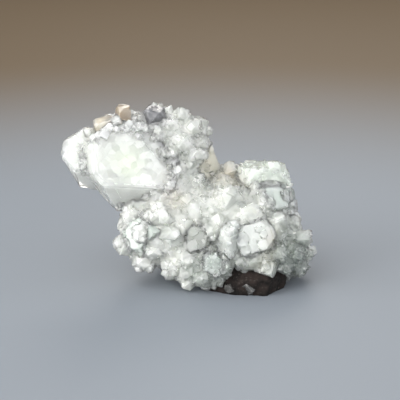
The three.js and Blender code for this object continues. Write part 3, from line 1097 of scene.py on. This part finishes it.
# The share of the spots on which a small crystal grows: anywhere, and more in crevices and on sugar.
CHANCE_ANYWHERE = 0.07
CHANCE_SHELTERED = 0.3
CHANCE_SUGARY = 0.45
SHELTER_REACH = 1.6  # mm from a spot to the point that feels for a wall
SHELTERED = 0.08  # a spot is in a crevice above this much shelter
SUGARY = 0.3  # a spot is on a sugary patch above this
FILL_REACH = 3.0  # mm: crevices narrower than twice this are filled
FILL_SUNK = 0.45  # mm from the closed skin down to the fill
DEEP = 2.6  # mm from the crust's surface to its deep inside
HONEY_ROOM = 4.5  # mm around the middle of a honey crystal that is kept free of small crystals

rng = np.random.default_rng(11)
crust_points, crust_triangles = merged_copy("crystal_crust")
crust_tree = BVHTree.FromPolygons(crust_points.tolist(), crust_triangles.tolist())
deep = inner_body("deep", crust_points, crust_triangles, DEEP, voxel=0.8)
deep_tree = BVHTree.FromPolygons(*(part.tolist() for part in surface_of(deep)))
bpy.data.objects.remove(deep)

crust = mesh_object("crystal_crust_glass", crust_points, crust_triangles.tolist())
filled = ["crystal_crust", "main_crystal", *SINGLES]
fill = closing_body("fill", filled, FILL_REACH, FILL_SUNK, voxel=0.6, keep=0.15)
join_or_cut(fill, [swollen(name, 0.02) for name in filled[1:]], "DIFFERENCE")
join_or_cut(crust, [shape_of(fill)], "UNION")
bpy.data.objects.remove(fill)
base = surface_of(crust)

spots, outward = spots_on(*base, SMALL_SPOTS, rng)
sheltered = shelter(crust_tree, spots, outward, SHELTER_REACH)
away_from_body = unit(spots - nearest(deep_tree, spots)[0])
sugary = np.zeros(len(spots))
for centre, radius in SUGAR:
    sugary = np.maximum(sugary, np.clip(2 * (1 - np.linalg.norm(spots - centre, axis=1) / radius), 0, 1))
chance = CHANCE_ANYWHERE + CHANCE_SHELTERED * (sheltered > SHELTERED) + CHANCE_SUGARY * sugary
honey_middles = [inside_box(name, 0.5, 0.5, 0.6) for name in ("honey_crystal_left", "honey_crystal_top")]


def beside_honey(places):
    """Which places lie so close to a honey crystal that a small crystal there would hide it."""
    return np.any([np.linalg.norm(places - at, axis=1) < HONEY_ROOM for at in honey_middles], axis=0)


keep = (rng.random(len(spots)) < np.clip(chance, 0, 1)) & (spots[:, 2] > LOWEST_SPOT) & ~beside_honey(spots)
spots, outward, sugary = spots[keep], outward[keep], sugary[keep]
lean = unit(0.6 * outward + 0.8 * away_from_body[keep])
batches = [
    *dust(rng, spots[sugary > SUGARY], lean[sugary > SUGARY], SUGAR_SIZES),
    *dust(rng, spots[sugary <= SUGARY], lean[sugary <= SUGARY], COMMON_SIZES),
]
spots, outward = spots_on(*base, MIDDLING_SPOTS, rng)
free = (spots[:, 2] > MIDDLING_LOWEST) & ~beside_honey(spots)
batches += dust(rng, spots[free], outward[free], MIDDLING_SIZES, wander=0.3, sunk=0.85)
print("small crystals:", sum(len(points) for points, _ in batches))

# %% [markdown]
# ## The sugary margin and the fine band
#
# The crust laps over the back of the large crystal's top and over its right side, but not over the
# faces that look forward. These small crystals are a piece of their own, the sugary margin. With them
# goes a narrow band of very fine crystals that runs down the left of the large crystal's front. A few
# places in the band are dark.

# %% The sugary margin of the large crystal
MARGIN_TOP = inside_box("main_crystal", 0.5, 0.5, 0.78)[2]
MARGIN_LEFT = inside_box("main_crystal", 0.27, 0.5, 0.5)[0]
MARGIN_RIGHT = inside_box("main_crystal", 0.86, 0.5, 0.5)[0]
MARGIN_SPOTS = 3000
MARGIN_SIZES = (0.4, 1.1)  # mm, half widths
LARGER_COUNT = 110  # so many of the margin's spots carry a larger crystal too
LARGER_SIZES = (0.9, 1.6)
FORWARD = 0.8  # a normal this close to FACE_OUT (cosine) looks forward

margin, outward = spots_on(*merged_copy("main_crystal"), MARGIN_SPOTS, rng)
looks_forward = outward @ FACE_OUT > FORWARD
over_top = (margin[:, 2] > MARGIN_TOP) & (margin[:, 0] > MARGIN_LEFT) & ~looks_forward
over_right = (margin[:, 0] > MARGIN_RIGHT) & (margin[:, 2] > LOWEST_SPOT)
grows = (over_top | over_right) & ~beside_honey(margin)
margin, outward = margin[grows], outward[grows]
druse_batches = dust(rng, margin, outward, MARGIN_SIZES, wander=0.3, sunk=0.7)
larger = margin[:LARGER_COUNT], outward[:LARGER_COUNT]
druse_batches += dust(rng, *larger, LARGER_SIZES, wander=0.3, sunk=0.8)
print("margin:", len(margin), "crystals")

# %% The fine band on its left
BAND_TOP = inside_box("main_crystal", 0.18, 0.5, 0.76)
BAND_FOOT = inside_box("main_crystal", 0.23, 0.5, 0.31)
BAND_MIDDLE = 0.35  # the band's middle, as a share of the way from BAND_TOP down to BAND_FOOT
BAND_HALF_LENGTH = 0.35  # as a share of the same way
BAND_HALF_WIDTH = 1.3  # mm
BAND_SPOTS = 14000
BAND_SIZES = (0.2, 0.55)  # mm, half widths
DARK_GRAINS = 9
DARK_GRAIN = 1.3  # mm, how far the dark of one reaches

band, band_out = spots_on(*merged_copy("main_crystal"), BAND_SPOTS, rng)
down_band = (BAND_TOP[2] - band[:, 2]) / (BAND_TOP[2] - BAND_FOOT[2])
aside = band[:, 0] - (BAND_TOP[0] + down_band * (BAND_FOOT[0] - BAND_TOP[0]))
on_front = band_out[:, 1] < -0.2
in_band = (np.abs(down_band - BAND_MIDDLE) < BAND_HALF_LENGTH) & (np.abs(aside) < BAND_HALF_WIDTH) & on_front
band, band_out = band[in_band], band_out[in_band]
druse_batches += dust(rng, band, band_out, BAND_SIZES, wander=0.5, sunk=0.8)
print("band:", len(band), "crystals")


# %% Collars
COLLAR_SPOTS = 320
WIDE_COLLAR_SPOTS = 500  # around the two widest pieces


def collar(name, count):
    """Small crystals around the foot of a single crystal, where its faces come close to the crust."""
    foot, face = spots_on(*merged_copy(name), count, rng)
    place, far = nearest(crust_tree, foot)
    close = (far > 0.25) & (far < 1.1) & (foot[:, 2] > LOWEST_SPOT)
    foot, face, far = foot[close], face[close], far[close]
    lean = unit(0.9 * unit(foot - nearest(deep_tree, foot)[0]) + 0.35 * face + rng.normal(0, 0.2, foot.shape))
    size = rng.uniform(0.4, 0.6, len(foot)) + 0.45 * far
    return crystals(rng, place[close] - lean * 0.3, lean, size, False, (0.1, 0.6), (0.3, 0.8))[0]


collars = [collar(name, COLLAR_SPOTS) for name in SINGLES]
collars += [collar(name, WIDE_COLLAR_SPOTS) for name in ("main_crystal", "basalt_rock")]
print("collars of", [len(points) for points in collars])
batches.append((np.concatenate(collars), BLOCKY_FACES))

# %% [markdown]
# ## Fusing, and the gaps between the pieces
#
# The crust is fused first and cut clear of the rock and of every finished skin, and then the margin is
# cut clear of the crust as well. Two see-through pieces that share a face can't be rendered cleanly,
# so the skins that were used as cutters are drawn in by a hair at the end, and so is the margin.

# %% Fuse the crust
ROCK_ROOM = 0.03  # mm of room left around the rock
SKIN_GAP = 0.03  # mm by which a finished skin is drawn in
join_or_cut(crust, set_apart(batches), "UNION")
join_or_cut(crust, [swollen("basalt_rock", ROCK_ROOM)], "DIFFERENCE")
join_or_cut(crust, [shape_of(glass) for glass in (main, *glasses.values())], "DIFFERENCE")


def draw_in(skin):
    """Moves a skin's points in along their normals by SKIN_GAP."""
    move_out(skin, np.full(len(skin.data.vertices), -SKIN_GAP))


# %% Fuse the sugary margin
druse_shapes = set_apart(druse_batches)
druse = mesh_object("sugary_margin", *druse_shapes[0])
join_or_cut(druse, druse_shapes[1:], "UNION")
join_or_cut(druse, [shape_of(glass) for glass in (main, crust, *glasses.values())], "DIFFERENCE")
draw_in(druse)
druse_heart = inner_body("sugary_margin_milky_body", *surface_of(druse), depth=0.2, voxel=0.2)
faceted(druse_heart, keep=0.4)
paint(druse_heart, WHITE, STAINS_AND_SHADE)
druse_heart.data.materials.append(crust_milky)
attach(druse_heart, "root")
paint(druse, WHITE, STAINS_AND_SHADE + [(place, DARK_GRAIN, SMOKE, 0.95) for place in band[:DARK_GRAINS]])
druse.data.materials.append(sugar)
print("margin triangles:", len(triangles_of(druse.data)))
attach(druse, "root")

# %% Draw the skins in and finish the crust
SKIN_MARK_SHARE = 0.5  # the crust's skin gets the stained patches and the painted shade half as strongly as its milk
for glass in (main, *glasses.values()):
    draw_in(glass)
faint = [(centre, radius, colour, SKIN_MARK_SHARE * strength) for centre, radius, colour, strength in STAINS_AND_SHADE]
paint(crust, WHITE, faint)
crust.data.materials.append(crust_clear)
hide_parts("crystal_crust")
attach(crust, "root")
print("crust triangles:", len(triangles_of(crust.data)))

# %% The crust's milky body
MILK_DEPTH = 0.38  # mm from the glassy skin to the milk under it
core = inner_body("crust_milky_body", *surface_of(crust), MILK_DEPTH, voxel=0.35)
faceted(core, keep=0.25)
paint(core, WHITE, STAINS_AND_SHADE)
core.data.materials.append(crust_milky)
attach(core, "root")

# %% [markdown]
# ## The large crystal's milky heart
# The milk in the large crystal is streaked: its surface rises and falls by noise that is drawn out
# along one direction in the big face, and then becomes flat facets. It is greyer toward the top left,
# and greyed as painted shade under the big face, where most light falls, so that it is no brighter
# than under the lower facets.

# %% The large crystal's milky heart
HEART_DEPTH = 0.8  # mm
STREAK_RELIEF = 0.5  # mm, how far the streaks rise and fall
STREAK_SIZES = np.array([6.0, 3.0, 1.3])  # mm: along a streak, out of the face and across the streak
MAIN_STAINS_AND_SHADE = [
    # Painted shade: the milk under the big face, where most light falls, is greyed so that it is no brighter
    # than under the lower facets.
    (inside_box("main_crystal", 0.45, 0.0, 0.75), 17.0, (0.86, 0.86, 0.85), 1.0),
    (inside_box("main_crystal", 0.05, 0.42, 0.73), 9.0, (0.84, 0.88, 0.85), 0.9),
    (inside_box("main_crystal", 0.56, 0.2, 0.59), 9.5, LEAF, 0.6),
    (inside_box("main_crystal", 0.90, 0.2, 0.46), 7.0, PEACH, 0.5),
    (inside_box("main_crystal", 0.78, 0.1, 0.22), 8.0, PEACH, 0.5),
]
heart = inner_body("main_crystal_milky_body", points, triangles, HEART_DEPTH, voxel=0.35)
streak = unit(0.9 * FACE_RIGHT + 0.42 * FACE_UP)
streak_axes = np.array([streak, FACE_OUT, np.cross(streak, FACE_OUT)])
along_streaks = points_of(heart.data) @ streak_axes.T
move_out(heart, STREAK_RELIEF * cloud_values(along_streaks, STREAK_SIZES, seed=3))
faceted(heart, keep=0.3)
paint(heart, WHITE, MAIN_STAINS_AND_SHADE)
heart.data.materials.append(head_milky)
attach(heart, "root")

# %% [markdown]
# ## Wisps inside the large crystal
#
# Feathery white wisps fan out under the big face, where fluid was trapped along the growth fronts. A
# texture on the face would sit at its surface. These are thin closed strands sealed under it, so the
# glass bends them as it should. A strand is a flattened ring carried along a bent path and drawn to a
# point at both ends. Strands that would reach the face's rim are left out.


# %% Strands
def closed_strands(centres, wide, thin, sides=6):
    """Closed strands as one mesh: rings of centre + cos(a) * wide + sin(a) * thin along each path.

    centres, wide and thin are n x m x 3. The first and last ring of each strand are single points."""
    n, m, _ = centres.shape
    angle = np.linspace(0, 2 * math.pi, sides, endpoint=False)[:, None]
    across = np.cos(angle) * wide[:, 1:-1, None] + np.sin(angle) * thin[:, 1:-1, None]
    rings = (centres[:, 1:-1, None] + across).reshape(n, -1, 3)
    points = np.concatenate([centres[:, :1], rings, centres[:, -1:]], axis=1)
    per = points.shape[1]
    i = np.arange(sides)
    j = (i + 1) % sides
    row = 1 + sides * np.arange(m - 3)[:, None]
    walls = np.stack([row + i, row + j, row + sides + j, row + sides + i], axis=-1).reshape(-1, 4)
    start = np.stack([0 * i, j + 1, i + 1], axis=1)
    last = per - 1 - sides
    end = np.stack([last + i, last + j, 0 * i + per - 1], axis=1)
    shift = per * np.arange(n)[:, None, None]
    quads = (walls + shift).reshape(-1, 4)
    tris = np.concatenate([start + shift, end + shift], axis=1).reshape(-1, 3)
    return points.reshape(-1, 3), quads.tolist() + tris.tolist()


# Each fan: its start right and up from the face's middle (mm), the range of its directions (degrees),
# of its lengths (mm), and how many strands it has.
FANS = [
    ((-13, 7), (10, 50), (4, 9), 14),
    ((-14, 0), (-20, 25), (4, 9), 14),
    ((-10, -6), (-15, 20), (5, 10), 10),
    ((2, -1), (-5, 35), (3, 7), 12),
    ((3, -5), (5, 40), (4, 8), 16),
    ((-4, 5), (20, 60), (3, 7), 10),
]
FAN_SPREAD = 1.6  # mm, how far the starts of a fan's strands scatter
FAN_BEND = 0.12  # how far a strand bends aside, as a share of its length
STRAND_GIRTHS = (0.15, 0.45)  # mm, half widths
STRAND_DEPTHS = (0.16, 0.36)  # mm under the face
RIM_ROOM = 0.8  # mm between a strand and the rim of the face


def fan_strands(rng, start, turns, lengths, count, girths, depths, origin):
    """One fan of bent strands in the plane of the big face: their centres, wide and thin half axes.

    At t from 0 to 1 a strand is at length * t along its own direction plus bend * t * t across it, and
    its half width is girth * sin(pi t) ** 0.7."""
    t = np.linspace(0, 1, 10)
    turn = np.radians(rng.uniform(*turns, count))[:, None]
    length = rng.uniform(*lengths, count)[:, None]
    bend = rng.normal(0, FAN_BEND, count)[:, None] * length
    x0 = start[0] + rng.normal(0, FAN_SPREAD, count)[:, None]
    y0 = start[1] + rng.normal(0, FAN_SPREAD, count)[:, None]
    along = x0 + length * t * np.cos(turn) - bend * t * t * np.sin(turn)
    up = y0 + length * t * np.sin(turn) + bend * t * t * np.cos(turn)
    depth = rng.uniform(*depths, count)[:, None] + 0 * t
    centres = origin + along[..., None] * FACE_RIGHT + up[..., None] * FACE_UP - depth[..., None] * FACE_OUT
    girth = (rng.uniform(*girths, count)[:, None] * np.sin(math.pi * t) ** 0.7)[..., None]
    side = -np.sin(turn)[..., None] * FACE_RIGHT + np.cos(turn)[..., None] * FACE_UP
    return centres, girth * side, 0.35 * girth * FACE_OUT


middle_of_face = inside_box("main_crystal", 0.54, 0.615, 0.607)
middle_of_face += ((points @ FACE_OUT).max() - middle_of_face @ FACE_OUT) * FACE_OUT


def on_face(places):
    """How far places lie right and up (mm) from the middle of the big face, in its plane."""
    offset = places - middle_of_face
    return np.stack([offset @ FACE_RIGHT, offset @ FACE_UP], axis=-1)


fans = [fan_strands(rng, *fan, STRAND_GIRTHS, STRAND_DEPTHS, middle_of_face) for fan in FANS]
centres, wide, thin = (np.concatenate(part) for part in zip(*fans))
rim = on_face(max(flat_faces(points, triangles, BIG_FACE), key=lambda face: (face[1] @ FACE_OUT).min())[1])
edge = np.roll(rim, -1, axis=0) - rim
inward = np.stack([edge[:, 1], -edge[:, 0]], axis=1) / np.linalg.norm(edge, axis=1, keepdims=True)
room = np.einsum("ijkl,kl->ijk", on_face(centres)[:, :, None] - rim, inward)
fits = (room * np.sign(room.sum())).min(axis=(1, 2)) > RIM_ROOM
print(fits.sum(), "of", len(fits), "strands fit the face")
wisps = mesh_object("main_crystal_wisps", *closed_strands(centres[fits], wide[fits], thin[fits]))
wisps.data.shade_smooth()
paint(wisps, WHITE)
white = milky_material(
    "white_wisp", light=(0.97, 0.97, 0.95), dark=(0.93, 0.94, 0.92), per_mm=0.5, reach=1.0
)
wisps.data.materials.append(white)
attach(wisps, "root")

# %% [markdown]
# ## The rock
#
# The basalt is a rough, dark scrap that broke rather than grew, so it has no faces. Its CAD wedge is
# drawn again as a fine closed skin, then broken up by noise at two sizes: lumps of a few millimetres
# and grains of half a millimetre. Its foot is pressed flat, because the specimen rests on it.

# %% Rough basalt
FOOT_ZONE = 0.7  # mm: what is lower than this is pressed down to the floor


def basalt_material():
    """Dark brown rock with painted shade: black and rust patches, fine pale specks, a rough grainy surface.
    """
    material, tree, shader, _ = new_material("basalt")
    place = object_place(tree)
    patches = spread(tree, noise(tree, place, 0.25, 5), 0.35, 0.65)
    # Painted shade: these colours are darker than the basalt itself, for the shade that the overhanging
    # crystals cast on the rock.
    stone = colour_mix(tree, patches, (0.005, 0.0045, 0.004, 1), (0.020, 0.014, 0.012, 1))
    grains = spread(tree, noise(tree, place, 1.4, 4, 0.7), 0.56, 0.74, 0.0, 0.8)
    speckled = colour_mix(tree, grains, stone, (0.08, 0.07, 0.06, 1))
    tree.links.new(speckled, shader.inputs["Base Color"])
    tree.links.new(spread(tree, grains, 0.0, 1.0, 0.9, 0.55), shader.inputs["Roughness"])
    shader.inputs["Specular IOR Level"].default_value = 0.2
    bump = {"Strength": 0.8, "Distance": 0.2 * MM, "Height": noise(tree, place, 1.8, 6, 0.65)}
    tree.links.new(node(tree, "ShaderNodeBump", bump).outputs["Normal"], shader.inputs["Normal"])
    return material


rock = inner_body("basalt_rock_skin", *merged_copy("basalt_rock"), depth=0.35, voxel=0.4)
ruffle(rock, height=0.5, size=4.0, seed=8)
ruffle(rock, height=0.3, size=1.3, seed=9)
rock_points = points_of(rock.data)
rock_points[:, 2] = np.where(rock_points[:, 2] < FOOT_ZONE, 0, rock_points[:, 2])
rock.data.vertices.foreach_set("co", (rock_points * MM).ravel())
rock.data.materials.append(basalt_material())
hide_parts("basalt_rock")
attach(rock, "root")
print("rock stands on z =", rock_points[:, 2].min())

# %% [markdown]
# A few small grey crystals stand at the front of the rock's foot. They stand on the rock rather than
# in the crust, so they are a piece of their own. Those that would reach under the floor are left out.

# %% Crystals at the rock's foot
FOOT_SPOTS = 9000
FOOT_COUNT = 15
FOOT_SIZES = (1.2, 2.4)  # mm, half widths
FOOT_CLEAR = 0.05  # mm: every point of a crystal stays this high above the floor
FOOT_TOP = 2.6  # mm above the floor, the highest place where one takes root
FOOT_GREY = (0.38, 0.37, 0.36)  # the tint of their skins
FOOT_HEART = (0.13, 0.12, 0.115)  # the tint of their milky bodies
foot_low = inside_box("basalt_rock", 0.28, 0.0, 0.05)
foot_high = inside_box("basalt_rock", 0.91, 0.30, 0.30)
foot_spots, outward = spots_on(*merged_copy("basalt_rock"), FOOT_SPOTS, rng)
at_foot = np.all((foot_spots > foot_low) & (foot_spots < foot_high), axis=1) & (outward[:, 2] < 0.5)
chosen = at_foot & (foot_spots[:, 2] < FOOT_TOP)
foot_spots, outward = foot_spots[chosen][:FOOT_COUNT], outward[chosen][:FOOT_COUNT]
foot_batches = []
for foot_points, foot_faces in dust(rng, foot_spots, outward, FOOT_SIZES, wander=0.6, sunk=0.8):
    foot_batches.append((foot_points[foot_points[:, :, 2].min(axis=1) > FOOT_CLEAR], foot_faces))
foot_shapes = set_apart(foot_batches)
foot = mesh_object("foot_crystals_glass", *foot_shapes[0])
join_or_cut(foot, foot_shapes[1:], "UNION")
join_or_cut(foot, [shape_of(crust)], "DIFFERENCE")
paint(foot, FOOT_GREY)
foot.data.materials.append(crust_clear)
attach(foot, "root")
foot_heart = inner_body("foot_crystals_milky_body", *surface_of(foot), depth=0.25, voxel=0.2)
paint(foot_heart, FOOT_HEART)
foot_heart.data.materials.append(crust_milky)
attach(foot_heart, "root")
